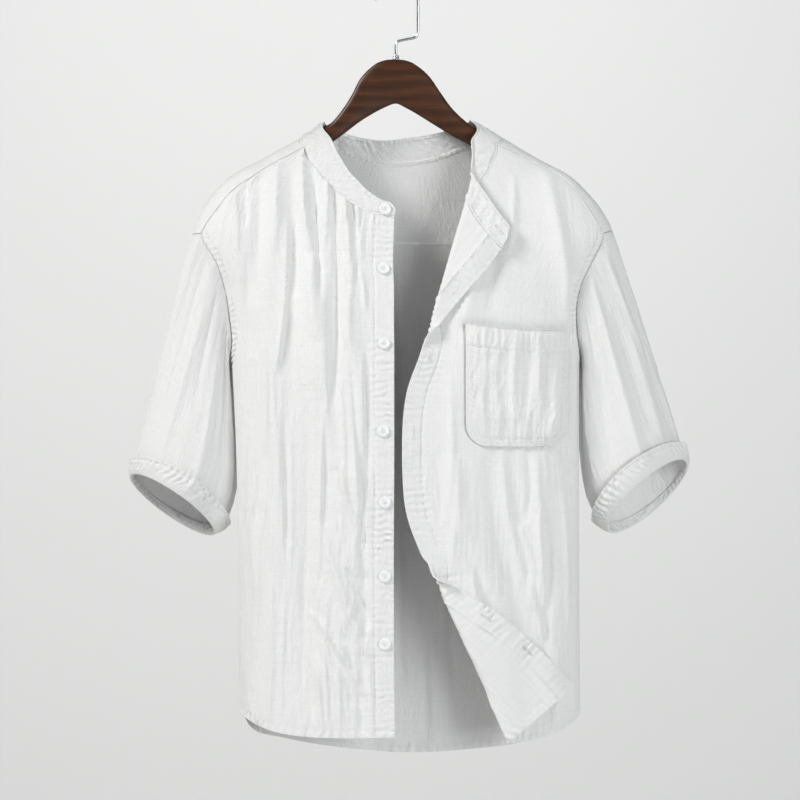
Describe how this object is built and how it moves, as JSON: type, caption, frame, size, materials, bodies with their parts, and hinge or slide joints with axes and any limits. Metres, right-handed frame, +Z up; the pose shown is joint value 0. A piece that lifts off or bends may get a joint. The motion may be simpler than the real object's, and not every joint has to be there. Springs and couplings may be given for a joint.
{
  "type": "band collar shirt on a wooden hanger",
  "caption": "Open band collar shirt with turned-up half sleeves, chest pocket and curved tails, hanging from a contoured wooden hanger with a wire hook.",
  "frame": {"origin": "inside top of the wire hook, where a rail or peg holds it", "axes": "+X to the right as the front is seen (the wearer's left), front faces -Y, +Z up"},
  "size_m": [0.6572, 0.151, 0.9136],
  "materials": {
    "cloth": "matt crinkled plain weave",
    "button": "satin",
    "wood": "dark satin varnish",
    "steel": "bright"
  },
  "bodies": {
    "root": {"front_right": "cloth", "front_left": "cloth", "back": "cloth", "yoke": "cloth", "collar_band": "cloth", "pocket": "cloth", "sleeve_right": "cloth", "sleeve_left": "cloth", "cuff_right": "cloth", "cuff_left": "cloth", "button_collar": "button", "button_1": "button", "button_2": "button", "button_3": "button", "button_4": "button", "button_5": "button", "button_6": "button", "hanger_wood": "wood", "hook_ferrule": "steel", "hook_wire": "steel"}
  },
  "joints": []
}
